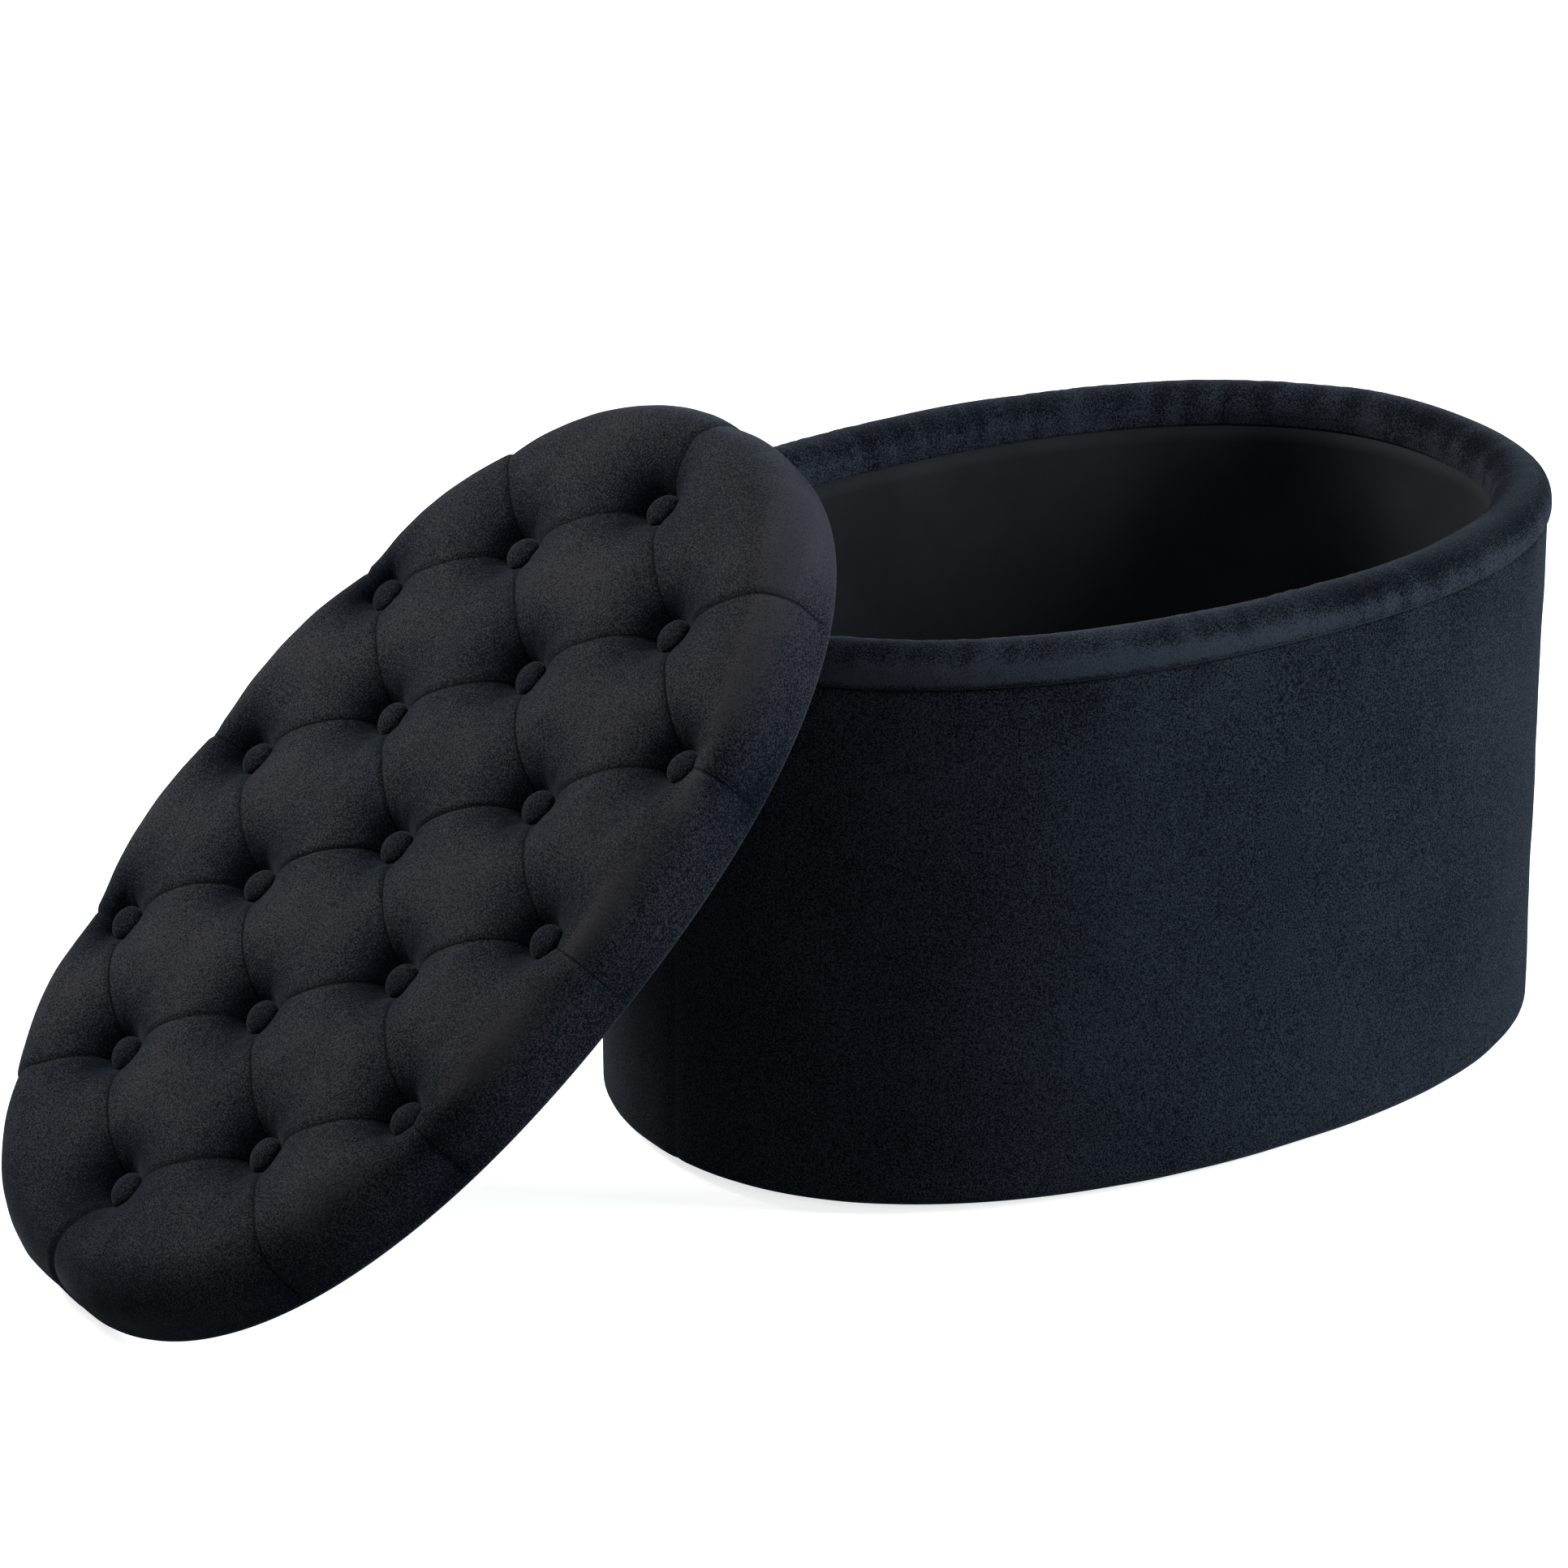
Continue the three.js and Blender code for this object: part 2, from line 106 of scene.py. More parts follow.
def studio_light(name, place, target, size, power, colour):
    """A soft oblong lamp at a place, turned to face the target."""
    data = bpy.data.lights.new(name, "AREA")
    data.shape = "RECTANGLE"
    data.size, data.size_y = size
    data.energy = power
    data.color = colour
    light = bpy.data.objects.new(name, data)
    light.location = place
    light.rotation_euler = (Vector(target) - Vector(place)).to_track_quat("-Z", "Y").to_euler()
    bpy.context.collection.objects.link(light)


studio_light("overhead_box", (-1.6, 2.1, 2.3), (-0.3, 0, 0.2), (1.3, 1.3), 150, (1, 0.965, 0.94))
studio_light("side_box", (2.5, -2.0, 1.3), (0.2, -0.1, 0.25), (1.0, 1.8), 185, (0.86, 0.93, 1))
studio_light("front_box", (-1.2, -3.4, 2.6), (-0.2, 0, 0.25), (1.6, 1.0), 22, (0.88, 0.94, 1))

bpy.ops.object.select_all(action="DESELECT")
bpy.ops.mesh.primitive_grid_add(x_subdivisions=4, y_subdivisions=4, size=40)
floor = bpy.context.object
floor.name = "floor"
floor_paint = bpy.data.materials.new("floor_paint")
floor_paint.use_nodes = True
floor_shader = floor_paint.node_tree.nodes["Principled BSDF"]
floor_shader.inputs["Emission Color"].default_value = (1, 1, 1, 1)
floor_seen = floor_paint.node_tree.nodes.new("ShaderNodeLightPath")
for socket, dim, bright in (("Base Color", 0.35, 0.8), ("Emission Strength", 0.0, 0.75)):
    choice = floor_paint.node_tree.nodes.new("ShaderNodeMapRange")
    choice.inputs["To Min"].default_value = dim
    choice.inputs["To Max"].default_value = bright
    floor_paint.node_tree.links.new(floor_seen.outputs["Is Camera Ray"], choice.inputs["Value"])
    floor_paint.node_tree.links.new(choice.outputs["Result"], floor_shader.inputs[socket])
floor_shader.inputs["Roughness"].default_value = 0.9
floor_shader.inputs["Specular IOR Level"].default_value = 0.1
floor.data.materials.append(floor_paint)
floor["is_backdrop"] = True


# ---------------------------------------------------------------- Boards, posts and rim ring
# The frame inside: sheets of bent fibreboard nailed to softwood posts, and a plywood rim whose
# two halves are doweled together. Nobody sees it once the covers are on.


def speckled(name, dark, light, size, stretch, roughness):
    """A plain matt material whose tone wanders, drawn out along Z for wood grain."""
    material = bpy.data.materials.new(name)
    material.use_nodes = True
    nodes, links = material.node_tree.nodes, material.node_tree.links
    shader = nodes["Principled BSDF"]
    shader.inputs["Roughness"].default_value = roughness
    shader.inputs["Specular IOR Level"].default_value = 0.3
    place = nodes.new("ShaderNodeTexCoord")
    turn = nodes.new("ShaderNodeMapping")
    turn.inputs["Scale"].default_value = (1, 1, stretch)
    texture = nodes.new("ShaderNodeTexNoise")
    texture.inputs["Scale"].default_value = size
    texture.inputs["Detail"].default_value = 5
    tone = nodes.new("ShaderNodeValToRGB")
    tone.color_ramp.elements[0].position = 0.35
    tone.color_ramp.elements[0].color = (*dark, 1)
    tone.color_ramp.elements[1].position = 0.65
    tone.color_ramp.elements[1].color = (*light, 1)
    bump = nodes.new("ShaderNodeBump")
    bump.inputs["Strength"].default_value = 0.2
    bump.inputs["Distance"].default_value = 0.0005
    links.new(place.outputs["Object"], turn.inputs["Vector"])
    links.new(turn.outputs["Vector"], texture.inputs["Vector"])
    links.new(texture.outputs["Fac"], tone.inputs["Fac"])
    links.new(tone.outputs["Color"], shader.inputs["Base Color"])
    links.new(texture.outputs["Fac"], bump.inputs["Height"])
    links.new(bump.outputs["Normal"], shader.inputs["Normal"])
    return material


fibreboard = speckled("fibreboard", (0.20, 0.13, 0.075), (0.30, 0.21, 0.13), 260, 1, 0.8)
softwood = speckled("softwood", (0.42, 0.28, 0.15), (0.60, 0.44, 0.27), 60, 0.06, 0.65)
for name, node in frame["nodes"].items():
    if name in ("base_panel", "outer_board", "inner_board", "lid_board"):
        node.data.materials.clear()
        node.data.materials.append(fibreboard)
    if name.startswith(("wall_post", "rim_ring", "rim_dowel")):
        node.data.materials.clear()
        node.data.materials.append(softwood)


# ---------------------------------------------------------------- Glides
# Seven black nylon discs, each driven into the base by its pin, hold the velvet off the floor.

nylon = speckled("nylon", (0.012, 0.012, 0.012), (0.018, 0.018, 0.018), 400, 1, 0.45)
disc_radius, disc_depth = 0.011, 0.0035
pin_radius, pin_depth, pin_middle = 0.0015, 0.0125, disc_depth + 0.00595
for name in sorted(n for n in frame["nodes"] if n.startswith("glide")):
    glide_low, glide_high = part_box(name)
    spot = (glide_low + glide_high) / 2
    bpy.ops.object.select_all(action="DESELECT")
    bpy.ops.mesh.primitive_cylinder_add(vertices=48, radius=disc_radius, depth=disc_depth)
    glide = bpy.context.object
    bpy.ops.object.mode_set(mode="EDIT")
    bpy.ops.mesh.select_all(action="SELECT")
    bpy.ops.transform.translate(value=(0, 0, disc_depth / 2))
    bpy.ops.mesh.bevel(offset=0.0009, segments=3)
    bpy.ops.mesh.select_all(action="DESELECT")
    bpy.ops.mesh.primitive_cylinder_add(
        vertices=24, radius=pin_radius, depth=pin_depth, location=(0, 0, pin_middle))
    bpy.ops.mesh.select_all(action="SELECT")
    bpy.ops.transform.translate(value=(spot.x, spot.y, 0))
    bpy.ops.object.mode_set(mode="OBJECT")
    bpy.ops.object.shade_smooth_by_angle(angle=math.radians(40))
    glide.name = glide.data.name = name.replace("glide", "nylon_glide")
    glide.data.materials.append(nylon)
    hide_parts(name)
    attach(glide, "tub")


# ---------------------------------------------------------------- Tub wall
# One tube of short-pile black velvet, pulled over foam and bent board, folded under the base
# and stapled there. Its two ends are sewn together in one upright seam at the left front.

plan_power = 2.22
rim_low, rim_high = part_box("rim_cover")
wall_low, wall_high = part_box("wall_cover")
tub_oval = (rim_high.x, rim_high.y)


def oval_row(oval, inset, corners, scale=1.0):
    """The corners of an oval moved straight inwards by the inset, then shrunk to the middle."""
    t = np.linspace(0, 2 * np.pi, corners, endpoint=False)
    c, s = np.cos(t), np.sin(t)
    x = oval[0] * np.sign(c) * np.abs(c) ** (2 / plan_power)
    y = oval[1] * np.sign(s) * np.abs(s) ** (2 / plan_power)
    nx = np.sign(x) * np.abs(x / oval[0]) ** (plan_power - 1) / oval[0]
    ny = np.sign(y) * np.abs(y / oval[1]) ** (plan_power - 1) / oval[1]
    length = np.hypot(nx, ny)
    return (x - inset * nx / length) * scale, (y - inset * ny / length) * scale


def rolled(name, oval, stations, corners, closed=True):
    """Rolls a flat grid round the oval, one line of the grid for each (inset, height, scale)."""
    rows = len(stations) if closed else len(stations) - 1
    bpy.ops.object.select_all(action="DESELECT")
    bpy.ops.mesh.primitive_grid_add(x_subdivisions=corners, y_subdivisions=rows, size=1)
    piece = bpy.context.object
    piece.name = piece.data.name = name
    flat = np.empty(len(piece.data.vertices) * 3)
    piece.data.vertices.foreach_get("co", flat)
    flat = flat.reshape(-1, 3)
    column = np.rint((flat[:, 0] + 0.5) * corners).astype(int) % corners
    line = np.rint((flat[:, 1] + 0.5) * rows).astype(int) % len(stations)
    table = np.empty((len(stations), corners, 3))
    for i, (inset, height, scale) in enumerate(stations):
        table[i, :, 0], table[i, :, 1] = oval_row(oval, inset, corners, scale)
        table[i, :, 2] = height
    piece.data.vertices.foreach_set("co", table[line, column].ravel())
    bpy.ops.object.mode_set(mode="EDIT")
    bpy.ops.mesh.select_all(action="SELECT")
    bpy.ops.mesh.remove_doubles(threshold=1e-6)
    bpy.ops.mesh.normals_make_consistent(inside=False)
    bpy.ops.object.mode_set(mode="OBJECT")
    bpy.ops.object.shade_smooth()
    return piece


def arc(inset, height, radius, start, end, steps):
    """Stations along an arc, measured from pointing outwards and turning upwards."""
    turns = np.radians(np.linspace(start, end, steps + 1))
    return [(inset - radius * math.cos(t), height + radius * math.sin(t), 1.0) for t in turns]


def straight(first, last, steps):
    """Stations between two others, without the first and the last."""
    return [
        tuple(a + (b - a) * i / steps for a, b in zip(first, last)) for i in range(1, steps)
    ]


def points_of(piece):
    """All corners of a piece, one row each."""
    flat = np.empty(len(piece.data.vertices) * 3)
    piece.data.vertices.foreach_get("co", flat)
    return flat.reshape(-1, 3)


def normals_of(piece):
    """The direction each corner of a piece faces."""
    flat = np.empty(len(piece.data.vertices) * 3)
    piece.data.vertices.foreach_get("normal", flat)
    return flat.reshape(-1, 3)


def place_points(piece, points):
    piece.data.vertices.foreach_set("co", np.ascontiguousarray(points).ravel())
    piece.data.update()


def write_mask(piece, name, values):
    """Stores one value for each corner, for the velvet to read."""
    layer = piece.data.attributes.new(name, "FLOAT", "POINT")
    layer.data.foreach_set("value", np.asarray(values, dtype=np.float32))


def soft_noise(points, size, seed):
    """Smooth noise from about -1 to 1 at each point, with lumps of the given size."""
    shift = Vector((seed * 7.31, seed * 3.17, seed * 5.93))
    return np.array([noise.noise(Vector(p) / size + shift) for p in points])


def pile_group():
    """Short velvet pile: broad clouds of brushing, faint marks, a fine grain of single tufts,
    painted shade and highlights, and thin painted crease lines.
    """
    group = bpy.data.node_groups.new("velvet_pile", "ShaderNodeTree")
    for name, kind, default in (
        ("Deep", "NodeSocketColor", (0.004, 0.005, 0.008, 1)),
        ("Raised", "NodeSocketColor", (0.02, 0.02, 0.022, 1)),
        ("Clouds", "NodeSocketFloat", 0.5),
        ("Grain", "NodeSocketFloat", 0.5),
        ("Hollow", "NodeSocketFloat", 0.0),
        ("Fold side", "NodeSocketFloat", 1.0),
        ("Fold near", "NodeSocketFloat", 0.0),
    ):
        socket = group.interface.new_socket(name, in_out="INPUT", socket_type=kind)
        socket.default_value = default
    group.interface.new_socket("Color", in_out="OUTPUT", socket_type="NodeSocketColor")
    group.interface.new_socket("Height", in_out="OUTPUT", socket_type="NodeSocketFloat")
    nodes, links = group.nodes, group.links
    given = nodes.new("NodeGroupInput")
    result = nodes.new("NodeGroupOutput")
    place = nodes.new("ShaderNodeTexCoord")

    def noise_at(scale, detail, roughness):
        node = nodes.new("ShaderNodeTexNoise")
        node.inputs["Scale"].default_value = scale
        node.inputs["Detail"].default_value = detail
        node.inputs["Roughness"].default_value = roughness
        links.new(place.outputs["Object"], node.inputs["Vector"])
        return node.outputs["Fac"]

    def maths(operation, a, b, clamp=False):
        node = nodes.new("ShaderNodeMath")
        node.operation = operation
        node.use_clamp = clamp
        for socket, value in zip(node.inputs, (a, b)):
            if isinstance(value, (int, float)):
                socket.default_value = value
            else:
                links.new(value, socket)
        return node.outputs[0]

    cloud = maths("SUBTRACT", noise_at(11, 3, 0.55), 0.5)
    marks = maths("SUBTRACT", noise_at(70, 3, 0.6), 0.5)
    grain = maths("SUBTRACT", noise_at(760, 2, 0.8), 0.5)
    broad = maths("MULTIPLY", maths("ADD", cloud, maths("MULTIPLY", marks, 0.45)),
                  given.outputs["Clouds"])
    fine = maths("MULTIPLY", grain, given.outputs["Grain"])
    amount = maths("ADD", maths("ADD", maths("MULTIPLY", broad, 2.2), 0.4),
                   maths("MULTIPLY", fine, 6.0), True)
    # Painted shade and nap pulls the tone towards the deep colour: painted shade where above zero,
    # painted highlight where below zero.
    amount = maths("SUBTRACT", amount, given.outputs["Hollow"], True)
    mix = nodes.new("ShaderNodeMix")
    mix.data_type = "RGBA"
    links.new(amount, mix.inputs["Factor"])
    links.new(given.outputs["Deep"], mix.inputs["A"])
    links.new(given.outputs["Raised"], mix.inputs["B"])
    # A thin dark line along the lid's folds is painted crease shade; on the wall the same line
    # marks the seam.
    line = nodes.new("ShaderNodeMapRange")
    line.interpolation_type = "SMOOTHSTEP"
    line.inputs["From Min"].default_value = 0.0001
    line.inputs["From Max"].default_value = 0.0013
    line.inputs["To Min"].default_value = 0.12
    line.inputs["To Max"].default_value = 1.0
    links.new(maths("ABSOLUTE", given.outputs["Fold side"], 0.0), line.inputs["Value"])
    lit = maths("SUBTRACT", 1.0, maths(
        "MULTIPLY", maths("SUBTRACT", 1.0, line.outputs["Result"]), given.outputs["Fold near"]))
    shade = nodes.new("ShaderNodeVectorMath")
    shade.operation = "SCALE"
    links.new(mix.outputs["Result"], shade.inputs[0])
    links.new(lit, shade.inputs["Scale"])
    links.new(shade.outputs["Vector"], result.inputs["Color"])
    links.new(maths("ADD", grain, maths("MULTIPLY", marks, 0.15)), result.inputs["Height"])
    return group


velvet_pile = pile_group()


def velvet(name, deep, raised, clouds, grain, sheen, tint):
    """A velvet material: dark pile whose edges catch the light."""
    material = bpy.data.materials.new(name)
    material.use_nodes = True
    nodes, links = material.node_tree.nodes, material.node_tree.links
    shader = nodes["Principled BSDF"]
    shader.inputs["Roughness"].default_value = 0.85
    shader.inputs["Specular IOR Level"].default_value = 0.03
    shader.inputs["Sheen Weight"].default_value = sheen
    shader.inputs["Sheen Roughness"].default_value = 0.34
    shader.inputs["Sheen Tint"].default_value = (*tint, 1)
    pile = nodes.new("ShaderNodeGroup")
    pile.node_tree = velvet_pile
    pile.inputs["Deep"].default_value = (*deep, 1)
    pile.inputs["Raised"].default_value = (*raised, 1)
    pile.inputs["Clouds"].default_value = clouds
    pile.inputs["Grain"].default_value = grain
    for mask in ("Hollow", "Fold side", "Fold near"):
        attribute = nodes.new("ShaderNodeAttribute")
        attribute.attribute_name = mask.lower().replace(" ", "_")
        links.new(attribute.outputs["Fac"], pile.inputs[mask])
    links.new(pile.outputs["Color"], shader.inputs["Base Color"])
    bump = nodes.new("ShaderNodeBump")
    bump.inputs["Strength"].default_value = 0.45
    bump.inputs["Distance"].default_value = 0.0012
    links.new(pile.outputs["Height"], bump.inputs["Height"])
    links.new(bump.outputs["Normal"], shader.inputs["Normal"])
    return material


tub_velvet = velvet("tub_velvet", (0.0012, 0.0020, 0.0038), (0.0215, 0.0270, 0.0360),
                    0.22, 0.8, 0.07, (0.72, 0.86, 1.0))

wall_inset = rim_high.x - wall_high.x
edge_radius, top_radius = 0.009, 0.004
velvet_thickness = 0.0016
hem_inset = wall_inset + 0.027
foam_low, foam_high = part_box("wall_foam")
foam_depth = velvet_thickness + 0.0003 + 0.008
wall_stations = (
    [(hem_inset, wall_low.z, 1.0)]
    + arc(wall_inset + edge_radius, wall_low.z + edge_radius, edge_radius, -90, 0, 8)
    + straight((wall_inset, wall_low.z + edge_radius, 1.0),
               (wall_inset, wall_high.z - top_radius, 1.0), 60)
    + arc(wall_inset + top_radius, wall_high.z - top_radius, top_radius, 0, 90, 4)
    + [(wall_inset + foam_depth, wall_high.z, 1.0), (wall_inset + foam_depth, 0.2, 1.0)]
    + [(wall_inset + foam_depth, foam_low.z, 1.0)]
    + arc(wall_inset + edge_radius + 0.001, wall_low.z + edge_radius, edge_radius - 0.0026,
          -60, -90, 2)
    + [(hem_inset, wall_low.z + velvet_thickness, 1.0)]
)
tub_wall = rolled("tub_wall", tub_oval, wall_stations, 360)
wall_points = points_of(tub_wall)
wall_out = normals_of(tub_wall)
seam_angle = math.radians(184.3)
seam_gap = np.abs(
    np.angle(np.exp(1j * (np.arctan2(wall_points[:, 1], wall_points[:, 0]) - seam_angle)))
) * np.hypot(wall_points[:, 0], wall_points[:, 1])
seam_line = np.exp(-(seam_gap / 0.004) ** 2)
facing_out = np.hypot(wall_out[:, 0], wall_out[:, 1])[:, None]
swell = 0.0011 * soft_noise(wall_points, 0.09, 1) + 0.0004 * soft_noise(wall_points, 0.03, 2)
drag = soft_noise(wall_points * (1, 1, 0.12), 0.010, 11)
swell += 0.0005 * drag * np.clip(1 - (wall_high.z - wall_points[:, 2]) / 0.05, 0, 1)
wall_points += wall_out * facing_out * (swell - 0.0012 * seam_line)[:, None]
place_points(tub_wall, wall_points)
write_mask(tub_wall, "fold_side", seam_gap)
write_mask(tub_wall, "fold_near", np.full(len(wall_points), 0.5))
# Painted shade: the wall darkens in upright streaks just under the rim roll; the brushing term is
# the pile's own uneven tone.
painted_shade_streaks = soft_noise(wall_points * (1, 1, 0.45), 0.045, 13)
brushing = soft_noise(wall_points * (1, 1, 0.30), 0.110, 14)
under_rim = np.clip(1 - (wall_high.z - wall_points[:, 2]) / 0.055, 0, 1)
write_mask(tub_wall, "hollow", (
    0.30 * under_rim * np.clip(painted_shade_streaks * 2 + 0.3, 0, 1) + 0.12 * brushing))
tub_wall.data.materials.append(tub_velvet)
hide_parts("wall_cover", "wall_foam")
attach(tub_wall, "tub")


# ---------------------------------------------------------------- Rim roll
# A foam roll over the plywood rim, covered with the same velvet. It stands a little proud of the
# wall, with a deep crease under its outer edge and small gathers where it turns the ends.

roll_radius = (rim_high.z - rim_low.z) - 0.008
roll_height = rim_high.z - roll_radius
ring_inset = 0.012
ring_gap = 0.0003
ring_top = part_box("rim_ring_back")[1].z
roll_stations = (
    arc(0.006, rim_low.z + 0.006, 0.006, -90, 0, 4)
    + arc(roll_radius, roll_height, roll_radius, 0, 180, 26)
    + arc(2 * roll_radius - 0.0025, rim_low.z + 0.0025, 0.0025, 180, 270, 4)
    + [(2 * roll_radius - ring_inset + ring_gap, rim_low.z, 1.0)]
    + [(2 * roll_radius - ring_inset + ring_gap, ring_top + ring_gap, 1.0)]
    + [(ring_inset - ring_gap, ring_top + ring_gap, 1.0), (ring_inset - ring_gap, rim_low.z, 1.0)]
)
rim_roll = rolled("rim_roll", tub_oval, roll_stations, 480)
roll_points = points_of(rim_roll)
roll_out = normals_of(rim_roll)
around = np.unwrap(np.arctan2(roll_points[:, 1], roll_points[:, 0]))
gather_places = np.stack([np.cos(around), np.sin(around), roll_points[:, 2] * 2.5], axis=1)
gathers = soft_noise(gather_places, 0.022, 3)
where = np.clip(soft_noise(gather_places, 0.5, 4) * 2 + 0.6, 0, 1)
broad = soft_noise(roll_points, 0.07, 5)
top_side = np.clip(roll_out[:, 2] + 0.35, 0, 1)
roll_points += roll_out * (top_side * (0.0008 * gathers * where + 0.0010 * broad))[:, None]
roll_points[:, 2] -= 0.0014 * np.clip(roll_out[:, 2], 0, 1) ** 2
roll_points[:, 2] = np.minimum(roll_points[:, 2], rim_high.z - 0.0002)
place_points(rim_roll, roll_points)
brush_places = np.stack([np.cos(around), np.sin(around), roll_points[:, 2] * 0.8], axis=1)
brush_marks = soft_noise(brush_places, 0.040, 12)
front_side = np.clip(-roll_points[:, 1] / 0.1, 0, 1)
left_end = np.clip((0.12 - roll_points[:, 0]) / 0.25, 0, 1)
# Painted highlight: the roll's outer face towards the front left end is lightened as if it caught
# the lamps.
painted_highlight_edge = np.exp(-((roll_out[:, 2] - 0.15) / 0.40) ** 2) * front_side * left_end
# Painted shade: the roll's upward faces are darkened, more at the front and less at the front left
# end.
painted_top_shade = np.clip(roll_out[:, 2] * 2.2 - 0.5, 0, 1) * (1 - 0.7 * front_side * left_end)
painted_top_shade *= 0.55 + 0.45 * front_side
# Painted shade under the roll's outer edge, a slight painted lightening all over, and the pile's
# own brush marks.
write_mask(rim_roll, "hollow", np.clip(
    0.9 * np.clip(-roll_out[:, 2] * 1.5 - 0.35, 0, 1) + 0.62 * painted_top_shade - 0.10
    - 0.40 * brush_marks - 0.75 * painted_highlight_edge, -0.6, 0.46))
write_mask(rim_roll, "fold_side", np.ones(len(roll_points)))
write_mask(rim_roll, "fold_near", np.zeros(len(roll_points)))
# The rim's copy of the velvet has a lighter pile than the tub's: painted light on the roll.
rim_velvet = velvet("rim_velvet", (0.0012, 0.0020, 0.0040), (0.0240, 0.0290, 0.0380),
                    0.5, 0.8, 0.08, (0.72, 0.86, 1.0))
rim_roll.data.materials.append(rim_velvet)
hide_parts("rim_cover", "rim_foam")
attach(rim_roll, "tub")


# ---------------------------------------------------------------- Lining of the storage space
# Smooth matt charcoal cloth over the inner board, hung from under the rim roll, with a stiffened
# floor board covered in the same cloth.

lining_low, lining_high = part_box("wall_lining")
lining_inset = rim_high.x - lining_high.x + 0.0016
lining_cloth = bpy.data.materials.new("lining_cloth")
lining_cloth.use_nodes = True
lining_nodes, lining_links = lining_cloth.node_tree.nodes, lining_cloth.node_tree.links
lining_shader = lining_nodes["Principled BSDF"]
lining_shader.inputs["Roughness"].default_value = 0.78
lining_shader.inputs["Specular IOR Level"].default_value = 0.1
lining_shader.inputs["Sheen Weight"].default_value = 0.03
lining_place = lining_nodes.new("ShaderNodeTexCoord")
lining_cloud = lining_nodes.new("ShaderNodeTexNoise")
lining_cloud.inputs["Scale"].default_value = 14
lining_cloud.inputs["Detail"].default_value = 3
lining_weave = lining_nodes.new("ShaderNodeTexNoise")
lining_weave.inputs["Scale"].default_value = 1100
lining_weave.inputs["Detail"].default_value = 1
lining_tone = lining_nodes.new("ShaderNodeValToRGB")
lining_tone.color_ramp.elements[0].position = 0.3
lining_tone.color_ramp.elements[0].color = (0.0058, 0.0072, 0.0088, 1)
lining_tone.color_ramp.elements[1].position = 0.7
lining_tone.color_ramp.elements[1].color = (0.0105, 0.0122, 0.0140, 1)
lining_bump = lining_nodes.new("ShaderNodeBump")
lining_bump.inputs["Strength"].default_value = 0.25
lining_bump.inputs["Distance"].default_value = 0.0004
for texture in (lining_cloud, lining_weave):
    lining_links.new(lining_place.outputs["Object"], texture.inputs["Vector"])
lining_links.new(lining_cloud.outputs["Fac"], lining_tone.inputs["Fac"])
lining_links.new(lining_tone.outputs["Color"], lining_shader.inputs["Base Color"])
lining_links.new(lining_weave.outputs["Fac"], lining_bump.inputs["Height"])
lining_links.new(lining_bump.outputs["Normal"], lining_shader.inputs["Normal"])

lining_top = rim_low.z - 0.00005
lining_turn = lining_top - 0.00002
lining_back = lining_inset + 0.0012
lining_stations = (
    [(lining_inset, lining_low.z, 1.0)]
    + straight((lining_inset, lining_low.z, 1.0), (lining_inset, lining_turn, 1.0), 30)
    + [(lining_inset, lining_turn, 1.0)]
    + [(lining_inset - 0.004, lining_top, 1.0), (lining_back, lining_top, 1.0)]
    + straight((lining_back, lining_top, 1.0), (lining_back, lining_low.z, 1.0), 30)
    + [(lining_back, lining_low.z, 1.0)]
)
lining = rolled("storage_lining", tub_oval, lining_stations, 240)
lining_points = points_of(lining)
from_middle = np.hypot(lining_points[:, 0], lining_points[:, 1])[:, None]
ease = np.clip(soft_noise(lining_points * (1, 1, 0.4), 0.06, 6), 0, 1)
ease *= np.clip((lining_top - lining_points[:, 2]) / 0.04 - 0.3, 0, 1)
lining_points[:, :2] *= 1 - 0.0012 * ease[:, None] / from_middle
place_points(lining, lining_points)
lining.data.materials.append(lining_cloth)
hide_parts("wall_lining")
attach(lining, "tub")

floor_low, floor_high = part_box("floor_board")
floor_inset = rim_high.x - floor_high.x + 0.002
floor_board = rolled("storage_floor", tub_oval, (
    [(floor_inset + 0.02, floor_low.z, 0.0), (floor_inset + 0.02, floor_low.z, 1.0)]
    + arc(floor_inset + 0.0015, floor_low.z + 0.0015, 0.0015, -90, 90, 6)
    + [(floor_inset + 0.02, floor_high.z, s) for s in (1.0, 0.6, 0.3, 0.0)]
), 180, closed=False)
floor_board.data.materials.append(lining_cloth)
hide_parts("floor_board")
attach(floor_board, "tub")


# ---------------------------------------------------------------- Tufted lid cushion
# Thick foam under black velvet, drawn down to the board by rows of buttons. The spare cloth lies
# in thin folds between neighbouring buttons, and in pleats from the outer ones to the lower edge.

hinge = Vector(joints["lid_tilt"]["pos_m"])
lean = math.radians(joints["lid_tilt"]["range_deg"][1])
slide = Vector(joints["lid_slide"]["axis"]) * joints["lid_slide"]["range_m"][1]
closed_height = rim_high.z + 0.0005
lid_place = (
    Matrix.Translation(hinge - slide)
    @ Matrix.Rotation(-lean, 4, "Y")
    @ Matrix.Translation(Vector((0, 0, closed_height)) - hinge)
)
lid_turn = np.array(lid_place.to_3x3())
lid_shift = np.array(lid_place.translation)


def lean_back(piece):
    """Moves a piece made lying on the closed tub to where the lid leans."""
    place_points(piece, points_of(piece) @ lid_turn.T + lid_shift)


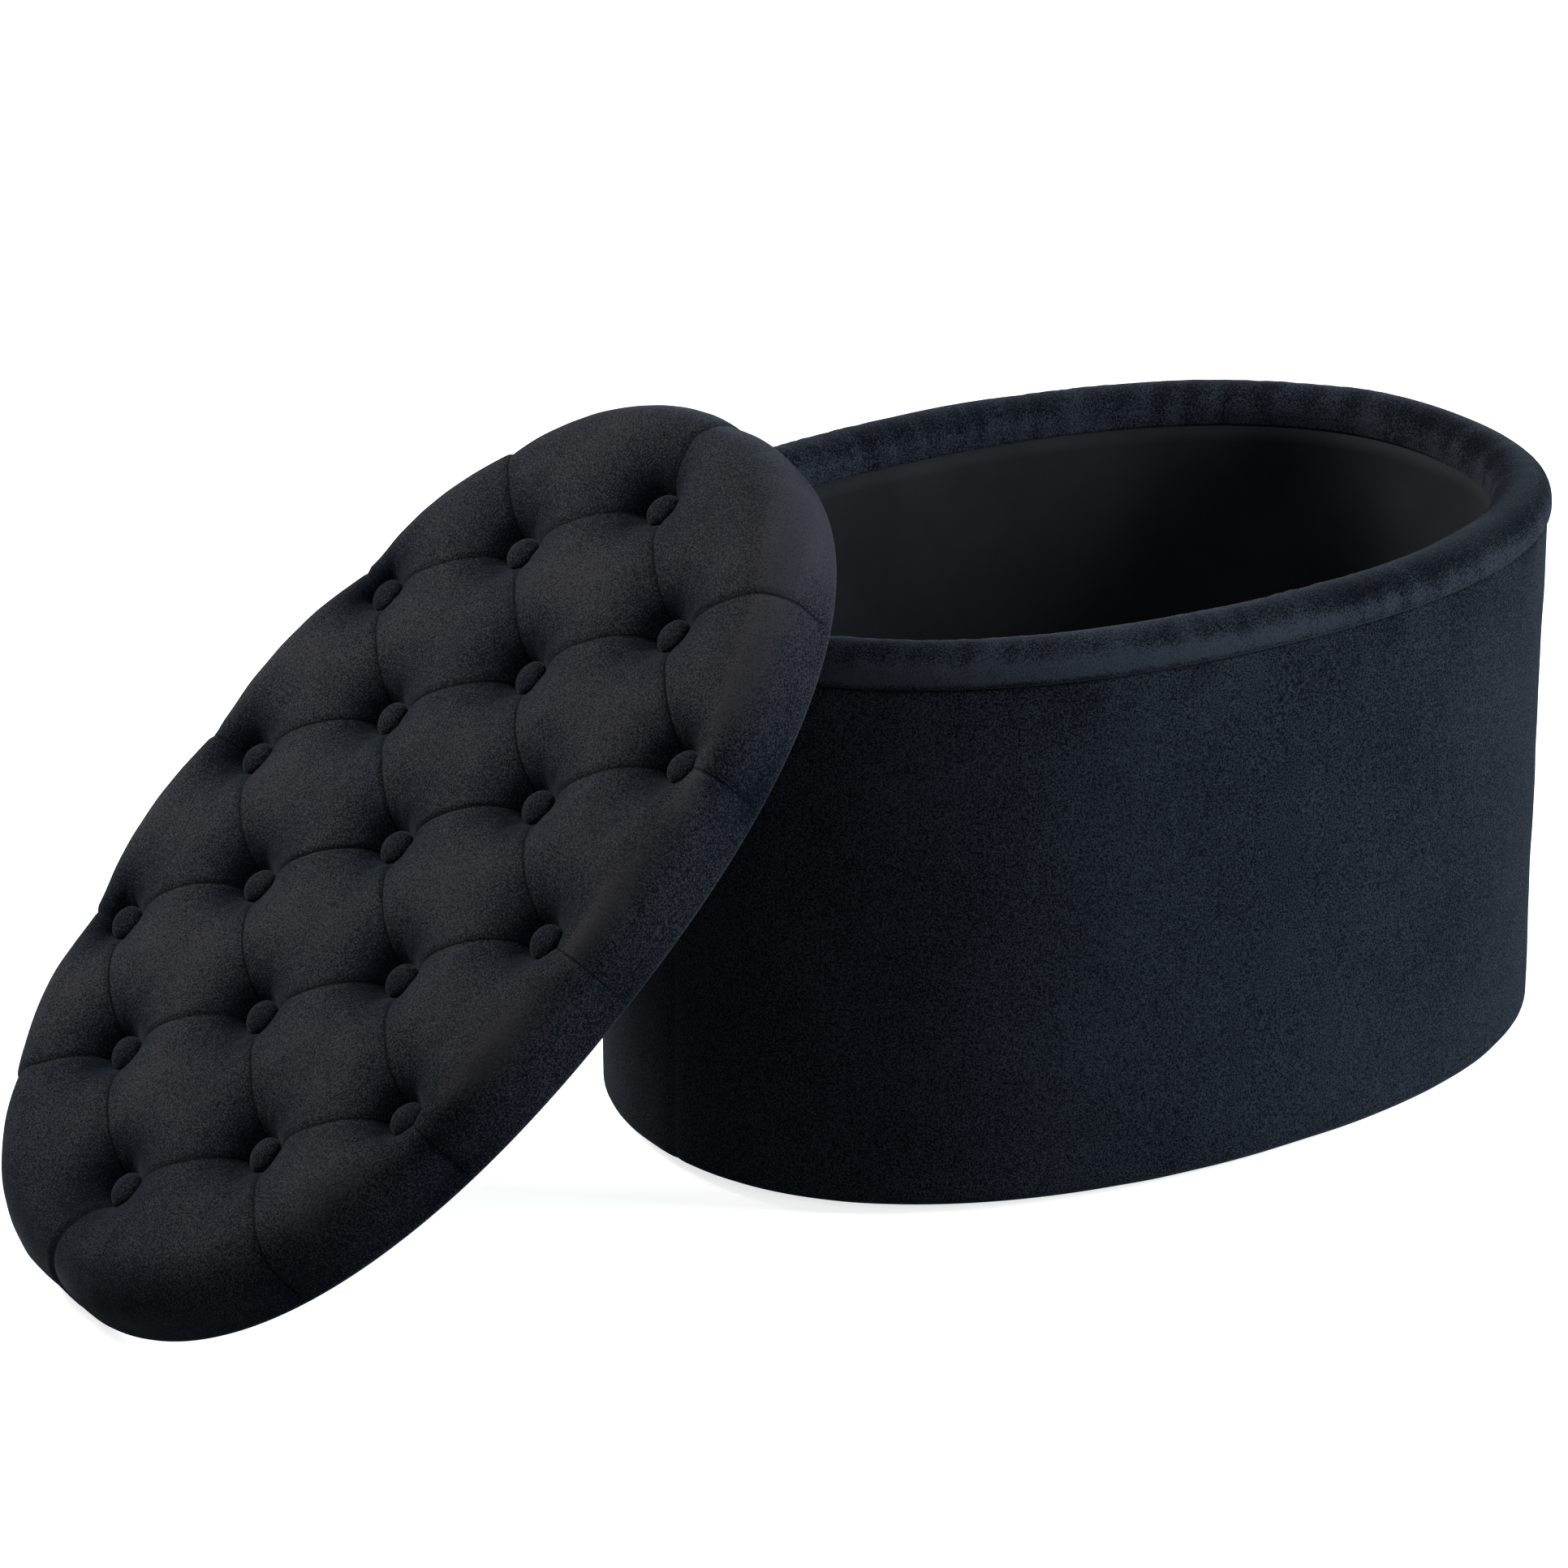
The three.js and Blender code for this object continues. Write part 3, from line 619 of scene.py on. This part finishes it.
lid_oval = (tub_oval[0] + 0.005, tub_oval[1] + 0.005)
lid_top = 0.057
lid_bottom = 0.0013
shoulder = 0.036
foot = 0.008
button_step = ((lid_oval[0] - 0.078) / 4, (lid_oval[1] - 0.060) / 2)
button_rows = {-2: 3, -1: 4, 0: 5, 1: 4, 2: 3}
buttons = {
    (2 * i - (count - 1), row): np.array(((2 * i - (count - 1)) * button_step[0],
                                          row * button_step[1]))
    for row, count in button_rows.items() for i in range(count)
}
board_inset, board_bottom, board_top = 0.012, 0.0032, 0.0152
lid_stations = (
    [(board_inset - 0.0003, board_top + 0.0003, s) for s in (0.0, 0.33, 0.67, 1.0)]
    + [(board_inset - 0.0003, board_bottom - 0.0003, 1.0), (0.03, board_bottom - 0.0003, 1.0)]
    + [(0.03, lid_bottom, 1.0)]
    + straight((0.03, lid_bottom, 1.0), (foot, lid_bottom, 1.0), 6)
    + arc(foot, lid_bottom + foot, foot, -90, 0, 6)
    + straight((0, lid_bottom + foot, 1.0), (0, lid_top - shoulder, 1.0), 5)
    + arc(shoulder, lid_top - shoulder, shoulder, 0, 90, 24)
    + [(shoulder, lid_top, s) for s in np.linspace(1, 0, 141)[1:]]
)
cushion = rolled("lid_cushion", lid_oval, lid_stations, 840, closed=False)
cushion_points = points_of(cushion)
cushion_out = normals_of(cushion)

# Folds run along both diagonals between neighbouring buttons.
folds = []
for (column, row), spot in buttons.items():
    for step in (-1, 1):
        other = buttons.get((column + step, row + 1))
        if other is not None:
            folds.append((spot, other, step))

# Pleats leave each outer button towards the nearest edge.
pleats = []
for (column, row), spot in buttons.items():
    if abs(row) == 2 or abs(column) == button_rows[row] - 1:
        outwards = {
            0: (np.sign(column), 0),
            1: (np.sign(column) * button_step[0], np.sign(row) * button_step[1]),
            2: (0.2 * np.sign(column), np.sign(row)),
        }[abs(row)]
        pleats.append((spot, np.array(outwards) / np.hypot(*outwards)))

plan = cushion_points[:, :2]
top_part = np.clip(cushion_out[:, 2] * 4, 0, 1)
upper = np.clip((cushion_points[:, 2] - lid_bottom - 0.004) / 0.012, 0, 1)
sink = np.zeros(len(plan))
crease = np.zeros(len(plan))
step_up = np.zeros(len(plan))
fold_side = np.full(len(plan), 0.05)
fold_near = np.zeros(len(plan))


def lay_fold(start, along, length, bow, side, reach, strength):
    """Adds one fold: a soft valley, a thin cut, one lip that laps over the other, and a painted
    dark crease line.
    """
    across = np.array((-along[1], along[0]))
    run = (plan - start) @ along
    t = run / length
    off = (plan - start) @ across - bow * np.sin(np.pi * np.clip(t, 0, 1))
    inside = (np.clip(run / 0.006, 0, 1) * np.clip((reach - run) / 0.006, 0, 1))
    near_end = np.abs(2 * np.clip(t, 0, 1) - 1) ** 2 if reach <= length * 1.001 else np.maximum(
        0, 1 - run / 0.05)
    valley = 0.0028 + 0.0045 * near_end
    sink[:] = np.maximum(sink, inside * valley * np.exp(-(np.abs(off) / 0.024) ** 1.4))
    crease[:] = np.maximum(crease, inside * np.exp(-(off / 0.0020) ** 2))
    step_up[:] += inside * side * 0.0008 * np.tanh(off / 0.0018) * np.exp(-np.abs(off) / 0.012)
    closest = (np.abs(off) < np.abs(fold_side)) & (inside > 0)
    fold_side[closest] = off[closest]
    fold_near[closest] = (inside * strength * np.clip(2.2 - np.abs(off) / 0.004, 0, 1))[closest]


for number, (start, end, side) in enumerate(folds):
    along = (end - start) / np.linalg.norm(end - start)
    length = np.linalg.norm(end - start)
    bow = 0.003 * math.sin(number * 2.4)
    lay_fold(start, along, length, bow, side, length, 0.85 + 0.15 * math.sin(number * 4.1))
for number, (start, along) in enumerate(pleats):
    lay_fold(start, along, 0.14, 0.004 * math.cos(number * 1.9), 1 - 2 * (number % 2), 0.2, 0.8)

pull = np.zeros(len(plan))
ripple = np.zeros(len(plan))
for number, spot in enumerate(buttons.values()):
    offset = plan - spot
    away = np.hypot(offset[:, 0], offset[:, 1])
    rim = np.maximum(away - 0.010, 0)
    pull = np.maximum(
        pull, 0.0165 * np.exp(-(rim / 0.021) ** 1.2) + 0.0065 * np.exp(-(rim / 0.0065) ** 1.5))
    turn = np.arctan2(offset[:, 1], offset[:, 0])
    band = np.exp(-((away - 0.021) / 0.008) ** 2)
    ripple += band * (0.6 * np.sin(7 * turn + number) + 0.4 * np.sin(11 * turn + 2.3 * number))

lumps = 0.0010 * soft_noise(cushion_points, 0.06, 7) + 0.0004 * soft_noise(cushion_points, 0.02, 8)
depth = (
    np.maximum(pull, sink) + 0.45 * np.minimum(pull, sink)
    + 0.0012 * crease - step_up + 0.0004 * ripple - lumps
)
cushion_points -= cushion_out * (depth * upper)[:, None]
cushion_points[:, 2] += 0.0055 * top_part
place_points(cushion, cushion_points)
write_mask(cushion, "fold_side", fold_side)
# Painted shade: a thin dark line along each fold and pleat.
write_mask(cushion, "fold_near", fold_near * upper)
# Painted sheen: a lighter band along the front shoulder, broken up by noise.
painted_sheen_band = np.exp(-((cushion_out[:, 1] + 0.55) / 0.24) ** 2) * np.clip(
    0.75 + plan[:, 0] / 0.5 + soft_noise(cushion_points, 0.05, 10), 0.25, 1)
# Painted shade in the button funnels and fold valleys, on the shoulders, on faces turned to the
# lower end and towards the lower end, minus the painted sheen band.
write_mask(cushion, "hollow", np.clip(
    1.15 * pull / 0.0235 + 45 * sink - 0.15 + 0.3 * (1 - np.clip(cushion_out[:, 2], 0, 1))
    + 0.35 * np.clip(-1.4 * cushion_out[:, 0] - 0.15, 0, 1)
    + 0.30 * np.clip((-plan[:, 0] - 0.22) / 0.10, 0, 1) - 0.9 * painted_sheen_band, -0.6, 0.6))
lean_back(cushion)
settled = points_of(cushion)
settled[:, 2] = np.maximum(settled[:, 2], 0.0003)
place_points(cushion, settled)
# The lid's copy of the velvet has a lighter, warmer pile than the tub's and a bluer deep tone:
# painted light on its top and painted shade in its dips.
lid_velvet = velvet("lid_velvet", (0.0014, 0.0036, 0.0066), (0.0310, 0.0305, 0.0365),
                    0.35, 0.8, 0.08, (0.72, 0.86, 1.0))
cushion.data.materials.append(lid_velvet)
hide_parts("lid_cover", "lid_foam")
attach(cushion, "lid")


# ---------------------------------------------------------------- Buttons
# Domed metal shells wrapped in the lid's velvet, each tied through the foam to the board.
# Pulling the twine tight sinks them and tips each one a little its own way.

button_radius = 0.0125
button_seat = lid_top - 0.0165


def covered_button():
    """One button, lying at the origin with its dome up."""
    bpy.ops.object.select_all(action="DESELECT")
    bpy.ops.mesh.primitive_uv_sphere_add(segments=40, ring_count=24, radius=button_radius)
    piece = bpy.context.object
    bpy.ops.object.shade_smooth()
    points = points_of(piece)
    points[:, 2] *= np.where(points[:, 2] > 0, 0.52, 0.30)
    points[:, 2] += 0.0002 * soft_noise(points, 0.004, 9)
    place_points(piece, points)
    return piece


pattern = covered_button()
in_rows = sorted(buttons, key=lambda place: (place[1], place[0]))
for number, spot in enumerate(buttons[place] for place in in_rows):
    button = pattern.copy()
    button.data = pattern.data.copy()
    button.name = button.data.name = f"button_{number + 1:02d}"
    bpy.context.collection.objects.link(button)
    tip = Matrix.Rotation(0.10 * math.sin(number * 1.7), 3, "X") @ Matrix.Rotation(
        0.10 * math.cos(number * 2.9), 3, "Y")
    points = points_of(button) @ np.array(tip).T
    points += np.array((spot[0], spot[1], button_seat))
    place_points(button, points)
    lean_back(button)
    write_mask(button, "fold_side", np.ones(len(points)))
    write_mask(button, "fold_near", np.zeros(len(points)))
    # Painted shade: every button is darkened as if shaded by its funnel.
    write_mask(button, "hollow", np.full(len(points), 0.3))
    button.data.materials.append(lid_velvet)
    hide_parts(f"lid_button_{number + 1:02d}")
    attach(button, "lid")
bpy.data.objects.remove(pattern)


# ---------------------------------------------------------------- Underside of the lid
# A thin charcoal cloth cut to an oval. It is stapled to the board, closes the underside and hides
# the edge of the folded velvet.


lid_lining_inset, lid_lining_thickness = 0.018, 0.001
lid_lining = rolled("lid_lining_cloth", lid_oval, (
    [(lid_lining_inset, 0.0, s) for s in (0.0, 0.5, 1.0)]
    + [(lid_lining_inset, lid_lining_thickness, s) for s in (1.0, 0.5, 0.0)]
), 240, closed=False)
lean_back(lid_lining)
lid_lining.data.materials.append(lining_cloth)
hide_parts("lid_lining")
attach(lid_lining, "lid")


# ---------------------------------------------------------------- Locating blocks
# Four planed softwood blocks screwed under the lid. They drop inside the rim and keep the closed
# lid from sliding off.

for number in range(1, 5):
    name = f"lid_locator_{number}"
    corners = points_of(frame["nodes"][name])
    corners = (corners - lid_shift) @ lid_turn
    low, high = corners.min(0), corners.max(0)
    bpy.ops.object.select_all(action="DESELECT")
    bpy.ops.mesh.primitive_cube_add(size=1)
    block = bpy.context.object
    block.name = block.data.name = f"locating_block_{number}"
    place_points(block, points_of(block) * (high - low) + (high + low) / 2)
    bpy.ops.object.mode_set(mode="EDIT")
    bpy.ops.mesh.select_all(action="SELECT")
    bpy.ops.mesh.bevel(offset=0.0012, segments=3)
    bpy.ops.object.mode_set(mode="OBJECT")
    bpy.ops.object.shade_smooth_by_angle(angle=math.radians(40))
    lean_back(block)
    block.data.materials.append(softwood)
    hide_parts(name)
    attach(block, "lid")


# ---------------------------------------------------------------- Dust cover
# Black spun cloth stapled under the base, so that the folded edge of the velvet doesn't show.

dust_low, dust_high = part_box("dust_cover")
dust_inset = rim_high.x - dust_high.x
dust_cover = rolled("dust_cloth", tub_oval, (
    [(dust_inset, dust_low.z, s) for s in (0.0, 0.4, 0.8, 1.0)]
    + [(dust_inset, dust_high.z, s) for s in (1.0, 0.8, 0.4, 0.0)]
), 180, closed=False)
dust_cover.data.materials.append(lining_cloth)
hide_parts("dust_cover")
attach(dust_cover, "tub")


low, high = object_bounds()
